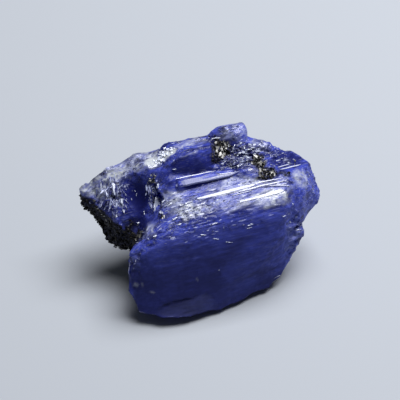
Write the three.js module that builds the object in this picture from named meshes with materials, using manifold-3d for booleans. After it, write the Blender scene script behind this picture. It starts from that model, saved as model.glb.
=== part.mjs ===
// A rough tanzanite: two striated crystals grown side by side along X, broken off at both ends.
// The low front prism carries the smooth front face and the shiny striated plateau. The higher back
// ridge ends at the left in a hollowed lobe and carries a small nub on top. They are one stone, so
// this is one closed solid. Millimetres, +Z up, X along the striations, -Y to the smooth front face.

import * as THREE from 'three';
import { ConvexGeometry } from 'three/addons/geometries/ConvexGeometry.js';
import { mergeVertices } from 'three/addons/utils/BufferGeometryUtils.js';
import Module from 'manifold-3d';

const wasm = await Module();
wasm.setup();

// ---- the cleaved blocks of the stone, as corner points [x, y, z] ----

// edges of the prism that the growth ribs follow, each from left to right
const FACE_TOP = [[-6.6, -3.7, 8.4], [-1.6, -4.3, 8.5], [2.6, -4.6, 8.5], [7.4, -4.6, 8.3]];
const SHOULDER = [[-5.6, -3.1, 9.2], [-1.3, -3.7, 9.5], [2.9, -4.1, 9.6], [7.6, -4.5, 9.2]];
const PLATEAU_FRONT = [[-4.5, -2.0, 9.7], [-1.0, -2.6, 10.2], [3.0, -3.2, 10.4], [7.8, -3.9, 9.9]];
const PLATEAU_BACK = [[-3.4, 0.6, 11.0], [-2.2, 0.9, 11.4], [3.9, 0.6, 11.5], [8.6, -1.7, 11.1]];

const FRONT_PRISM = [
  ...FACE_TOP,
  ...SHOULDER,
  ...PLATEAU_FRONT,
  ...PLATEAU_BACK,
  // left edge of the front face, from the foot up
  [-8.6, -4.7, 1.1], [-8.5, -3.6, 2.6], [-9.1, -3.2, 5.5], [-8.5, -2.7, 7.4],
  // foot of the front face, left to right: it overhangs the base, most of all at the left
  [-7.2, -5.2, 1.15], [-5.6, -6.2, 0.95], [-4.0, -6.5, 0.8], [-2.3, -6.4, 0.7],
  [-0.6, -6.1, 0.6], [2.8, -5.4, 0.6], [4.7, -4.8, 0.7], [7.1, -4.3, 1.0],
  // right edge of the front face
  [7.8, -3.8, 1.95], [7.5, -4.3, 4.4],
  // back and right end, inside the stone
  [-5.3, 2.5, 0.4], [-6.2, 2.5, 6.5], [7.4, 2.0, 0.8], [9.2, -1.0, 6.0], [9.0, 2.0, 9.5],
];

const LOBE = [
  // left tip and underside
  [-10.5, 6.0, 9.3], [-10.4, 5.4, 7.5], [-9.4, 4.8, 5.0],
  [-8.1, 3.8, 3.0], [-7.0, 2.9, 2.7], [-6.9, 1.0, 4.4],
  // top edge against the back
  [-9.5, 6.2, 10.7], [-8.7, 6.1, 11.2], [-7.8, 6.2, 11.5], [-6.6, 6.2, 11.6],
  [-4.1, 6.3, 12.2], [-2.2, 5.8, 12.7],
  // lower border of the frosted top
  [-8.9, 4.7, 10.4], [-6.3, 4.8, 11.5], [-3.8, 4.2, 12.1], [-2.4, 3.5, 12.7],
  // foot of the front, from the left tip to the seam
  [-9.0, 4.7, 8.0], [-8.2, 3.4, 6.8], [-7.4, 0.9, 6.0], [-5.0, 1.3, 8.4],
  // back
  [-8.6, 6.9, 8.2], [-6.8, 6.3, 5.4], [-1.0, 7.0, 9.0], [-2.0, 3.0, 9.0],
];

const RIDGE = [
  // foot and top of the dark wall
  [-2.2, 1.4, 11.6], [2.0, 1.3, 11.6], [-2.6, 2.6, 13.1], [-1.3, 2.3, 13.9], [2.3, 2.6, 14.0],
  // top edge against the back
  [-2.4, 5.3, 13.2], [-0.4, 4.9, 13.9], [2.4, 4.9, 14.0],
  // back
  [-2.4, 6.9, 9.5], [2.4, 7.1, 9.6], [-2.2, 1.4, 9.0], [2.0, 1.3, 9.0],
];

const KNOB = [
  [-3.7, 3.2, 11.6], [-3.0, 3.1, 12.6], [-2.0, 2.6, 13.0], [-1.9, 1.3, 11.9], [-2.4, 0.6, 11.4],
  [-3.8, 1.4, 11.3], [-3.0, 1.4, 12.1], [-4.1, 0.7, 10.8], [-3.4, 0.3, 10.8],
  [-3.0, 2.0, 10.0], [-1.8, 3.2, 10.5],
];

const STRIP = [
  [-2.2, 0.3, 11.9], [3.8, 0.6, 11.9], [1.7, 1.2, 12.1], [-1.9, 1.4, 12.1],
  [-2.2, 0.4, 11.0], [3.8, 0.7, 11.0], [1.7, 1.6, 11.0], [-1.9, 1.6, 11.0],
];

const SPARKLE_SLOPE = [
  // foot along the plateau
  [2.0, 1.3, 11.9], [4.0, 0.6, 11.6], [5.6, -0.5, 11.4], [7.5, -1.2, 11.2], [8.9, -1.5, 11.0],
  // upper edge
  [2.4, 2.6, 13.2], [3.7, 3.5, 14.0], [5.6, 2.3, 13.5], [7.1, 1.4, 12.6], [8.4, 2.7, 12.5],
  [9.8, 1.9, 11.8],
  // back
  [2.4, 4.9, 13.9], [6.5, 4.4, 13.3], [2.4, 7.1, 9.6], [8.0, 6.2, 8.4], [9.0, 0.0, 8.0], [4.0, 0.7, 9.0],
];

const BACK = [
  // foot, left to right
  [-5.9, 3.0, 0.9], [-3.4, 4.7, 0.7], [1.4, 5.0, 0.5], [5.6, 4.2, 0.7], [7.9, 2.2, 1.1],
  // belly
  [-7.2, 4.4, 3.0], [-5.2, 6.3, 4.2], [-0.6, 6.9, 4.6], [3.6, 6.6, 4.0], [7.2, 5.4, 3.6], [8.9, 3.2, 3.8],
  // upper edge
  [-8.0, 6.8, 8.0], [-4.4, 7.9, 9.4], [0.8, 8.1, 9.8], [4.8, 7.6, 9.2], [8.2, 5.9, 8.2], [9.6, 3.4, 7.4],
  // inside the stone
  [-4.0, 0.0, 3.0], [6.0, 0.0, 3.0], [0.0, 2.0, 9.5],
];

const NUB = [
  [2.3, 4.5, 13.9], [3.7, 3.6, 14.0], [4.9, 2.9, 13.8], [5.7, 2.4, 13.4], [6.4, 3.5, 13.7],
  [2.9, 4.8, 14.3], [3.8, 4.5, 14.7], [4.9, 4.2, 14.9], [6.2, 4.0, 14.7], [6.4, 3.6, 14.1],
  [3.6, 3.8, 14.3], [5.3, 3.2, 14.4],
  [2.4, 6.0, 12.5], [6.8, 5.6, 12.5], [6.2, 4.9, 14.3], [4.0, 5.5, 14.3], [3.0, 3.4, 12.8], [5.6, 2.2, 12.8],
];

const RIGHT_TIP = [
  // upper outline
  [7.1, 1.4, 12.5], [8.5, 2.8, 12.4], [9.8, 2.1, 11.8], [11.4, 2.0, 10.95],
  [12.1, 1.3, 10.4], [12.6, 0.6, 9.4], [12.9, -0.6, 8.0], [12.7, -1.0, 7.4],
  // cloudy facet and the break below it
  [8.7, -1.8, 11.0], [9.2, -1.4, 10.9], [11.5, -1.5, 9.1],
  [7.8, -3.9, 9.8], [7.5, -4.4, 8.2], [10.5, -1.9, 5.7],
  // back
  [10.9, 4.2, 7.8], [8.5, 5.6, 8.8], [9.6, 2.6, 5.0], [7.5, -1.0, 5.0],
];

const RIGHT_FOOT = [
  [7.5, -4.4, 8.0], [7.5, -4.3, 4.4], [7.8, -3.8, 1.95], [7.1, -4.3, 1.0], [10.0, -2.0, 5.0],
  [10.0, -2.7, 4.1], [9.8, -2.8, 3.6], [8.8, -3.2, 3.3], [8.0, -3.4, 2.6],
  [10.0, -1.4, 6.6], [8.2, 0.0, 1.1], [9.3, 1.6, 2.8], [7.2, 3.4, 1.2], [9.2, 2.8, 5.0],
];

// stub ends of the broken right end: root point, end point, width at the root
const BROKEN_STUBS = [
  [[8.4, -2.4, 6.8], [10.1, -2.1, 6.5], 1.4],
  [[8.0, -2.8, 5.2], [9.9, -2.7, 4.9], 1.5],
  [[8.0, -2.8, 4.2], [9.7, -3.0, 3.9], 1.3],
  [[7.5, -3.2, 3.4], [8.3, -3.6, 3.1], 1.1],
  [[7.0, -3.4, 2.2], [7.7, -3.9, 2.1], 0.9],
  [[9.8, -0.4, 7.8], [11.5, -1.5, 7.6], 1.5],
  [[9.8, 0.4, 9.0], [12.0, -0.6, 8.9], 1.6],
];

const BASE = [
  // outline of the flat, going round
  [-6.8, -2.4, 0.0], [-4.9, -4.2, 0.0], [-0.6, -4.7, 0.0], [2.6, -4.1, 0.0], [5.6, -2.9, 0.0],
  [6.5, -0.6, 0.0], [5.8, 2.6, 0.0], [2.4, 4.0, 0.0], [-2.2, 4.2, 0.0], [-4.8, 3.0, 0.0], [-6.0, 0.4, 0.0],
  // sides, up into the stone
  [-7.2, -3.4, 1.1], [-4.7, -5.4, 0.85], [-0.8, -5.3, 0.7], [2.8, -4.7, 0.7], [6.3, -3.8, 0.9],
  [-5.8, 2.6, 1.6], [-2.6, 4.6, 1.4], [2.6, 4.6, 1.4], [6.8, 2.6, 1.4], [7.0, -1.6, 1.4],
];

// conchoidal hollow in the front of the lobe: centre, radii and its turn about X in radians
const LOBE_HOLLOW = { centre: [-6.1, 2.3, 10.25], radii: [1.3, 1.7, 2.6], turn: -0.665 };

const BLOCKS = [
  FRONT_PRISM, LOBE, RIDGE, KNOB, STRIP, SPARKLE_SLOPE, BACK, NUB, RIGHT_TIP, RIGHT_FOOT, BASE,
];

// growth ribs [from, to, width, height] on the band between two edges, where from and to are
// [part of the length, part of the way across the band]
const PLATEAU_RIBS = [
  [[0.04, 0.12], [0.55, 0.1], 0.42, 0.14],
  [[0.3, 0.26], [0.99, 0.24], 0.5, 0.16],
  [[0.02, 0.4], [0.42, 0.38], 0.4, 0.12],
  [[0.36, 0.5], [0.98, 0.48], 0.55, 0.18],
  [[0.12, 0.64], [0.66, 0.62], 0.45, 0.14],
  [[0.55, 0.76], [0.99, 0.74], 0.4, 0.14],
  [[0.08, 0.88], [0.5, 0.88], 0.4, 0.12],
];
const SHOULDER_RIBS = [
  [[0.06, 0.25], [0.5, 0.3], 0.3, 0.08],
  [[0.4, 0.62], [0.96, 0.58], 0.34, 0.1],
  [[0.1, 0.82], [0.62, 0.8], 0.3, 0.08],
];
const FACE_RIBS = [
  [[0.5, 0.2], [0.97, 0.3], 0.26, 0.07],
  [[0.1, 0.6], [0.55, 0.55], 0.26, 0.07],
];

// part of a rib's half length that each end takes to fade out, and how deep its root lies
const FADE = 0.12;
const ROOT_DEPTH = 0.3;

const point = ([x, y, z]) => new THREE.Vector3(x, y, z);

function solidFrom(geometry) {
  geometry.deleteAttribute('normal');
  geometry.deleteAttribute('uv');
  const merged = mergeVertices(geometry, 1e-4);
  return new wasm.Manifold(new wasm.Mesh({
    numProp: 3,
    vertProperties: merged.attributes.position.array,
    triVerts: new Uint32Array(merged.index.array),
  }));
}

function geometryFrom(solid) {
  const mesh = solid.getMesh();
  const geometry = new THREE.BufferGeometry();
  geometry.setAttribute('position', new THREE.BufferAttribute(new Float32Array(mesh.vertProperties), 3));
  geometry.setIndex(new THREE.BufferAttribute(new Uint32Array(mesh.triVerts), 1));
  return geometry;
}

function block(corners) {
  return solidFrom(new ConvexGeometry(corners.map(point)));
}

function scoop({ centre, radii, turn }) {
  const geometry = new THREE.SphereGeometry(1, 24, 16);
  geometry.scale(...radii);
  geometry.rotateX(turn);
  geometry.translate(...centre);
  return solidFrom(geometry);
}

// the point a given part of the way along a chain of corners
function along(edge, part) {
  const place = Math.min(Math.max(part, 0), 1) * (edge.length - 1);
  const index = Math.min(Math.floor(place), edge.length - 2);
  return point(edge[index]).lerp(point(edge[index + 1]), place - index);
}

// a long low wedge lying on the band between two edges, fading out at both ends
function rib(front, back, [[s0, t0], [s1, t1], width, height]) {
  const on = (s, t) => along(front, s).lerp(along(back, s), t);
  const start = on(s0, t0);
  const end = on(s1, t1);
  const middle = on((s0 + s1) / 2, (t0 + t1) / 2);
  const length = end.clone().sub(start).normalize();
  const across = along(back, s0).sub(along(front, s0)).normalize();
  const up = length.clone().cross(across).normalize();
  const corners = [start, end];
  for (const centre of [start, end]) {
    const inner = centre.clone().lerp(middle, FADE);
    corners.push(inner.clone().addScaledVector(across, -width / 2).addScaledVector(up, -ROOT_DEPTH));
    corners.push(inner.clone().addScaledVector(across, width / 2).addScaledVector(up, -ROOT_DEPTH));
    corners.push(inner.clone().addScaledVector(across, width * 0.3).addScaledVector(up, height));
    corners.push(inner.clone().addScaledVector(across, width * 0.1).addScaledVector(up, height));
  }
  corners.push(middle.clone().addScaledVector(up, -2 * ROOT_DEPTH));
  return solidFrom(new ConvexGeometry(corners));
}

// a chisel-ended stub from inside the stone to its end
function stub([root, end, width]) {
  const from = point(root);
  const to = point(end);
  const axis = to.clone().sub(from).normalize();
  const side = new THREE.Vector3(0, 0, 1).cross(axis).normalize();
  const up = axis.clone().cross(side).normalize();
  const ring = (centre, reach, turns) => turns.map((turn) => centre.clone()
    .addScaledVector(side, Math.cos(turn) * reach)
    .addScaledVector(up, Math.sin(turn) * reach));
  const corners = [...ring(from, width, [0.4, 1.9, 3.3, 4.8]), ...ring(to, width * 0.35, [0.9, 3.4, 4.6])];
  return solidFrom(new ConvexGeometry(corners));
}

const pieces = [
  ...BLOCKS.map(block),
  ...PLATEAU_RIBS.map((line) => rib(PLATEAU_FRONT, PLATEAU_BACK, line)),
  ...SHOULDER_RIBS.map((line) => rib(SHOULDER, PLATEAU_FRONT, line)),
  ...FACE_RIBS.map((line) => rib(FACE_TOP, SHOULDER, line)),
  ...BROKEN_STUBS.map(stub),
];
const grown = pieces.reduce((stone, piece) => stone.add(piece)).subtract(scoop(LOBE_HOLLOW));

// the origin is under the middle of the stone
const shape = geometryFrom(grown);
shape.computeBoundingBox();
const middle = shape.boundingBox.getCenter(new THREE.Vector3());
shape.translate(-middle.x, -middle.y, 0);

const tanzanite = new THREE.Mesh(
  shape,
  new THREE.MeshStandardMaterial({ color: 0x2a3078, roughness: 0.35, metalness: 0, flatShading: true }),
);
tanzanite.name = 'tanzanite';

const stone = new THREE.Group();
stone.add(tanzanite);

export default stone;
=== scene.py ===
# %% [markdown]
# # Rough tanzanite
# A rough tanzanite is one broken crystal group. Two striated crystals grew side by side: a low front
# prism with a smooth dark face and a shiny ribbed top, and a higher back ridge that ends in a hollowed
# lobe. Dark matrix still clings to it in crusts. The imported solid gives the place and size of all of
# this, so the first step loads it and keeps its box.

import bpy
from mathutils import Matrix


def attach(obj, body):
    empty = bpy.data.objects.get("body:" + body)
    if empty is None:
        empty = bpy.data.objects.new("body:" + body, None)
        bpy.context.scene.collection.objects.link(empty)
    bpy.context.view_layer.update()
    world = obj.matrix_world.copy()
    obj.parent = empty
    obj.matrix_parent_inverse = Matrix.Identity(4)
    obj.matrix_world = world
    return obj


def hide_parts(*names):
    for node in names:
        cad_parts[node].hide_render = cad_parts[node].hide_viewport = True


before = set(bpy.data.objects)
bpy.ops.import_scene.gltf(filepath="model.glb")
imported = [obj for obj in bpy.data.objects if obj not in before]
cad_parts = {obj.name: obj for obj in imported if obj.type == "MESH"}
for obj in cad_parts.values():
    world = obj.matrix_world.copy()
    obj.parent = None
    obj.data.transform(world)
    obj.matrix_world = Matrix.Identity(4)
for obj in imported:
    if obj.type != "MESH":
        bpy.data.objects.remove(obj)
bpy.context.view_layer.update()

# %% Tools and units
import math
import random

import bmesh
import bpy
import numpy as np
from mathutils import Matrix, Vector, noise

MM = 0.001       # one millimetre in metres
random.seed(7)
noise.seed_set(7)

# %% [markdown]
# ## The stone's skin
# The solid has flat facets and sharp edges. A real broken crystal has worn edges and relief down to a
# tenth of a millimetre. One way is to sculpt by hand; another is a displacement texture. Here the solid
# is copied, its loose triangles are merged, and a voxel remesh turns it into an even skin of small
# quads that code can carve, in millimetres, the way a sculptor would.

# %% Copy the solid and remesh it
VOXEL = 0.125    # mm

def linked(name, mesh):
    """A new object for a mesh, at the origin and in the scene."""
    piece = bpy.data.objects.new(name, mesh)
    bpy.context.scene.collection.objects.link(piece)
    return piece

def apply_modifiers(piece):
    """Replace the piece's mesh by the result of its modifiers."""
    depsgraph = bpy.context.evaluated_depsgraph_get()
    mesh = bpy.data.meshes.new_from_object(piece.evaluated_get(depsgraph))
    piece.modifiers.clear()
    piece.data = mesh

def remeshed_copy(node, name, voxel):
    """A closed, evenly meshed copy of a CAD node, in millimetres."""
    bm = bmesh.new()
    bm.from_mesh(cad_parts[node].data)
    bmesh.ops.remove_doubles(bm, verts=bm.verts, dist=1e-7)
    bmesh.ops.scale(bm, vec=(1 / MM, 1 / MM, 1 / MM), verts=bm.verts)
    mesh = bpy.data.meshes.new(name)
    bm.to_mesh(mesh)
    bm.free()
    piece = linked(name, mesh)
    remesh = piece.modifiers.new("skin", "REMESH")
    remesh.mode = "VOXEL"
    remesh.voxel_size = voxel
    remesh.adaptivity = 0.0
    apply_modifiers(piece)
    return piece

crystal = remeshed_copy("tanzanite", "tanzanite_crystal", VOXEL)
print("skin:", len(crystal.data.vertices), "vertices,", len(crystal.data.polygons), "faces")

# %% Read and write the skin as arrays
def points_of(mesh):
    flat = np.zeros(len(mesh.vertices) * 3)
    mesh.vertices.foreach_get("co", flat)
    return flat.reshape(-1, 3)

def normals_of(mesh):
    flat = np.zeros(len(mesh.vertices) * 3)
    mesh.vertices.foreach_get("normal", flat)
    return flat.reshape(-1, 3)

def edges_of(mesh):
    flat = np.zeros(len(mesh.edges) * 2, int)
    mesh.edges.foreach_get("vertices", flat)
    return flat.reshape(-1, 2)

def move_to(mesh, places):
    mesh.vertices.foreach_set("co", places.ravel())
    mesh.update()

EDGES = edges_of(crystal.data)
NEIGHBOURS = np.bincount(EDGES.ravel(), minlength=len(crystal.data.vertices))[:, None]

def averaged(values, times):
    """Each vertex's value pulled towards the mean of its neighbours', several times over."""
    values = values.copy()
    for _ in range(times):
        total = np.stack([
            np.bincount(EDGES[:, 0], column[EDGES[:, 1]], len(values))
            + np.bincount(EDGES[:, 1], column[EDGES[:, 0]], len(values))
            for column in values.T
        ], 1)
        values += (total / NEIGHBOURS - values) * 0.5
    return values

# %% [markdown]
# ## Noise helpers
# Every irregularity comes from a few kinds of noise, sampled at the skin's own points, so the same
# stone comes out on every run. `ripple` is smooth and can be drawn out along the crystal's length,
# `treads` turns it into long steps, and `scallops` gives each small cell its own tilted bowl and its own
# random number, like the facets of a fracture.

# %% Noise at many points
BOWL_DEPTH = 0.9    # how fast a broken bowl rises towards its rim

def ripple(places, size, seed=0.0, stretch=1.0):
    """Smooth noise, about -1 to 1, with bumps of this size; stretch draws it out along X."""
    shift = Vector((seed * 17.3, seed * -9.1, seed * 4.7))
    scaled = places / (size * stretch, size, size)
    return np.array([noise.noise(Vector(p) + shift) for p in scaled]) * 1.6

def treads(places, size, seed=0.0, stretch=1.0):
    """Long flat treads with short risers between them, from -0.5 to 0.5 of a riser's height."""
    level = ripple(places, size, seed, stretch) * 2.4
    part = level - np.floor(level)
    return smooth_step(part, 0.35, 0.65) - part

def hashed(cells, seed):
    """Three random numbers from -1 to 1 for each cell centre."""
    mix = cells @ np.array([[12.9898, 39.346, 73.156], [78.233, 11.135, 52.235], [37.719, 83.155, 9.151]])
    return np.modf(np.abs(np.sin(mix + seed) * 43758.5453))[0] * 2 - 1

def cells_of(places, size, seed, stretch=1.0):
    """For each point: its place in cells, and the distances and centres of the four nearest cells."""
    scaled = places / (size * stretch, size, size) + seed * 5.3
    found = [noise.voronoi(Vector(p)) for p in scaled]
    distances = np.array([near for near, _ in found])
    centres = np.array([[c[:] for c in cells] for _, cells in found])
    return scaled, distances, centres

def grains(places, size, seed=0.0):
    """1 in the middle of each grain, 0 in the joints between them, and the grain's own random number."""
    _, distances, centres = cells_of(places, size, seed)
    return 1 - distances[:, 0] / distances[:, 1], hashed(centres[:, 0], seed)[:, 0]

def scallops(places, size, seed=0.0, stretch=1.0):
    """Broken glass: tilted bowls that meet in sharp ridges, about 0 to 0.6; and each bowl's own tone."""
    scaled, _, centres = cells_of(places, size, seed, stretch)
    heights = []
    for rank in range(4):
        offset = scaled - centres[:, rank]
        tilt = hashed(centres[:, rank], seed) * 0.6
        heights.append((offset * tilt).sum(1) + BOWL_DEPTH * (offset ** 2).sum(1))
    owner = np.argmin(heights, axis=0)
    tone = hashed(centres[np.arange(len(places)), owner], seed + 0.5)[:, 0]
    return np.min(heights, axis=0), tone

def smooth_step(value, low, high):
    t = np.clip((value - low) / (high - low), 0, 1)
    return t * t * (3 - 2 * t)

def streak(places, start, end, widths, soft=0.4):
    """1 along a line that runs mostly along X, with its own half width at each end, in millimetres."""
    start, end = np.array(start), np.array(end)
    part = (places[:, 0] - start[0]) / (end[0] - start[0])
    line = start + (end - start) * part.clip(0, 1)[:, None]
    width = widths[0] + (widths[1] - widths[0]) * part.clip(0, 1)
    reach = np.linalg.norm(places - line, axis=1) / width
    return 1 - smooth_step(reach, 1 - soft, 1 + soft)

def blob(places, centre, radii, soft=0.35):
    """1 inside an ellipsoid, falling to 0 just outside it."""
    reach = np.sqrt((((places - np.array(centre)) / np.array(radii)) ** 2).sum(1))
    return 1 - smooth_step(reach, 1 - soft, 1 + soft)

# %% [markdown]
# ## Where things are on the stone
# Each feature has a name, a place and a reach, in millimetres in the stone's own frame. The masks built
# from them say where the crystal is milky or carries a painted highlight, where matrix clings, where it
# is broken or ribbed, and where it is deep and clear or lies in painted shade. Masks painted by hand on
# the mesh would do the same, but a list of named places is easier to read and to move.

# %% Milky places, some with a painted highlight: centre, radii and strength of each cloud
CLOUDS = {
    "crest": ((-5.6, 4.3, 12.3), (1.7, 1.2, 0.6), 0.65),
    "crest's left part": ((-8.6, 4.7, 11.3), (2.6, 1.1, 0.8), 0.95),
    "ridge's upper part": ((-1.0, 3.3, 13.95), (1.8, 0.5, 0.3), 0.35),
    "lobe cheek": ((-9.6, 3.6, 10.2), (1.4, 1.3, 1.2), 0.5),
    "lobe tip": ((-10.8, 4.4, 10.0), (1.3, 1.2, 1.0), 1.0),
    "plateau's left end": ((-4.2, -0.9, 10.8), (1.0, 1.1, 0.8), 0.6),
    "plateau flakes": ((-2.8, -2.6, 10.4), (2.2, 1.0, 0.5), 0.75),
    "plateau": ((2.8, -1.2, 11.3), (2.6, 0.8, 0.4), 0.5),
    "plateau's right part": ((5.6, -1.9, 11.1), (2.2, 0.7, 0.4), 0.45),
    "plateau's front": ((1.2, -2.9, 10.7), (3.0, 0.6, 0.4), 0.4),
    "face smudge": ((-8.06, -5.7, 3.5), (0.36, 0.3, 0.15), 0.42),
    "face's tall smudge": ((-9.4, -4.8, 4.3), (0.12, 0.3, 0.3), 0.3),
    "face's second smudge": ((-9.0, -5.05, 4.2), (0.12, 0.3, 0.28), 0.28),
    "face's middle smudge": ((-3.3, -6.3, 4.5), (0.14, 0.3, 0.18), 0.28),
    "face's left edge": ((-9.3, -4.1, 6.6), (0.25, 0.4, 0.8), 0.12),
    # partly frost and partly a painted highlight: milky white where the light's reflection lies along the
    # plateau's front
    "frost and highlight patch": ((5.5, -3.4, 10.5), (2.2, 0.8, 0.6), 1.0),
    "frost and highlight's soft edge": ((5.0, -3.9, 10.1), (2.4, 0.5, 0.5), 0.4),
    "frost and highlight below the patch": ((2.4, -3.5, 10.4), (2.6, 0.6, 0.4), 0.35),
    "nub": ((3.9, 2.8, 14.5), (1.6, 1.5, 0.8), 0.22),
    "band behind the nub": ((6.2, 1.9, 12.9), (1.4, 0.9, 0.6), 0.4),
    "right facet": ((9.2, -1.6, 10.3), (1.3, 0.8, 0.7), 0.62),
    "seam": ((-7.2, -2.3, 8.9), (0.8, 0.9, 0.7), 0.45),
    "right break": ((7.2, -4.4, 5.4), (1.0, 0.9, 2.6), 0.16),
    "back's upper veil": ((2.5, 6.3, 9.6), (4.0, 2.0, 1.3), 0.6),
    "back's left veil": ((-5.5, 7.0, 9.0), (2.6, 1.8, 1.1), 0.6),
    "back's lower veil": ((4.5, 6.5, 4.0), (3.0, 2.5, 0.9), 0.5),
    "left end's veil": ((-9.5, 2.0, 4.0), (2.5, 2.5, 1.0), 0.35),
}
VEINS_AND_HIGHLIGHTS = {
    # start, end, half width at each end, strength
    "white crest": ((-4.8, 3.6, 12.5), (-2.7, 3.0, 13.6), (0.75, 0.34), 1.4),
    "wall's line": ((-2.3, 1.5, 13.85), (-0.6, 1.65, 13.95), (0.04, 0.06), 0.3),
    "left crest": ((-9.9, 5.0, 11.0), (-6.6, 4.3, 12.0), (0.4, 0.3), 0.6),
    # the streak and the patch ridge are painted highlights: milky white where the light's reflection runs
    # along the ribs
    "streak": ((-1.8, -1.8, 10.9), (6.5, -2.3, 11.1), (0.14, 0.16), 0.7),
    "patch ridge": ((2.2, -3.3, 10.65), (6.9, -3.5, 10.5), (0.12, 0.30), 0.7),
}
MATRIX = {
    "upper patch": ((1.95, 2.0, 13.4), (1.05, 1.5, 0.9), 1.0),
    "upper patch's foot": ((1.3, 1.3, 12.8), (0.6, 0.5, 0.5), 0.9),
    "nub's left end": ((1.7, 3.3, 14.1), (0.9, 0.5, 0.35), 0.3),
    "lower patch": ((5.4, 0.0, 12.4), (0.6, 1.3, 0.9), 1.0),
    "lower patch's foot": ((5.8, -1.3, 11.7), (1.2, 0.75, 0.5), 1.0),
    "pale cluster": ((-5.8, -1.8, 10.1), (0.45, 0.5, 0.4), 0.2),
    "left edge speck": ((-9.5, 4.95, 11.2), (0.5, 0.45, 0.3), 0.7),
    "lower patch's end": ((7.2, -1.5, 11.35), (1.3, 0.3, 0.3), 0.8),
    "gully": ((-5.0, 2.2, 11.4), (0.6, 0.6, 0.6), 0.45),
    "seam": ((-8.4, -0.3, 7.0), (0.8, 1.3, 1.4), 1.0),
    "crest specks": ((-6.0, 4.5, 12.25), (0.6, 0.4, 0.25), 0.5),
    "crest's back edge": ((-3.8, 4.8, 12.9), (1.8, 0.25, 0.3), 0.6),
    "sparkle slope specks": ((4.6, 1.3, 13.2), (0.9, 0.5, 0.4), 0.45),
}

# %% Broken, ribbed, deep and shaded places
BROKEN = {
    "sparkle slope": ((3.5, 0.7, 12.7), (2.4, 1.3, 1.1), 0.9),
    "plateau flakes": ((-2.8, -2.6, 10.3), (2.0, 1.0, 0.8), 0.3),
    "lobe cheek": ((-9.5, 3.2, 9.4), (1.5, 1.9, 1.8), 0.9),
    "lobe front": ((-7.6, 3.6, 10.8), (1.8, 1.0, 1.0), 0.5),
    "gully": ((-5.7, 1.0, 9.8), (1.2, 1.8, 2.2), 1.0),
    "seam": ((-8.0, -1.6, 7.6), (0.9, 2.0, 1.8), 0.9),
    "right break": ((7.3, -4.3, 5.6), (1.3, 1.2, 3.4), 1.0),
    "right slope": ((7.4, 0.6, 11.8), (2.2, 1.2, 1.2), 0.6),
    "right slope's back edge": ((8.0, 1.6, 12.2), (2.6, 0.9, 0.8), 1.0),
    "band behind the nub": ((6.0, 1.9, 12.9), (1.3, 0.9, 0.6), 1.0),
    "nub": ((3.9, 2.8, 14.4), (1.6, 1.6, 0.9), 0.35),
    "ridge crest": ((-1.0, 3.6, 13.9), (3.2, 0.9, 0.6), 0.4),
    "crest": ((-6.4, 4.6, 11.8), (3.6, 0.9, 0.8), 0.3),
    "face's left edge": ((-9.3, -4.2, 5.2), (0.6, 0.7, 3.0), 0.5),
    "right tip": ((10.6, -1.0, 8.6), (1.6, 1.6, 1.6), 0.35),
    "back's middle": ((0.0, 6.5, 7.5), (4.0, 2.5, 2.5), 0.55),
    "back's right": ((7.0, 5.0, 6.0), (3.0, 3.0, 3.5), 0.7),
    "left end": ((-9.0, 2.0, 5.0), (3.0, 3.0, 2.5), 0.5),
}
RIBBED = {
    "plateau": ((2.0, -2.2, 10.9), (6.6, 2.2, 1.1), 1.0),
    "shoulder": ((0.0, -4.4, 9.6), (8.5, 1.2, 1.3), 0.6),
    "ridge top": ((-0.6, 2.6, 13.8), (2.6, 1.6, 0.7), 0.9),
    "sparkle slope": ((3.5, 0.7, 12.7), (2.6, 1.4, 1.1), 0.6),
    "right slope": ((7.6, 0.4, 11.8), (2.4, 1.3, 1.1), 0.8),
    "face's right part": ((4.6, -5.4, 5.5), (3.2, 1.0, 3.4), 0.35),
    "crest": ((-7.5, 4.6, 11.7), (3.8, 1.2, 1.2), 0.3),
}
# painted darker, towards navy: deep clear crystal, and painted shade in the hollow, the recesses, the seam
# and the band under the strip
DEEP_AND_SHADED = {
    "hollow": ((-6.8, 2.0, 9.4), (1.4, 1.8, 2.3), 0.95),
    "wall": ((-1.4, 1.3, 12.9), (2.6, 0.8, 1.2), 0.78),
    "knob": ((-4.0, 1.2, 12.0), (0.8, 1.0, 1.0), 0.6),
    "band under the strip": ((-1.0, -0.45, 11.5), (2.3, 0.4, 0.35), 0.9),
    "right slope": ((8.3, 0.4, 11.5), (2.3, 1.1, 1.2), 0.9),
    "ridge top": ((0.0, 2.4, 14.1), (2.4, 1.2, 0.6), 0.4),
    "upper patch's surroundings": ((2.2, 2.0, 13.4), (1.7, 1.9, 1.2), 0.8),
    "plateau's shade": ((-3.6, -1.6, 10.8), (1.4, 0.5, 0.6), 0.5),
    "sparkle slope": ((3.8, 0.7, 12.6), (2.2, 1.3, 1.2), 1.0),
    "right break": ((7.4, -4.2, 6.5), (1.1, 1.2, 3.2), 0.4),
    "lobe cheek": ((-9.2, 2.8, 8.9), (1.5, 1.6, 1.5), 0.6),
    "seam": ((-7.2, 0.2, 7.8), (1.0, 1.3, 1.4), 0.9),
}

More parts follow.
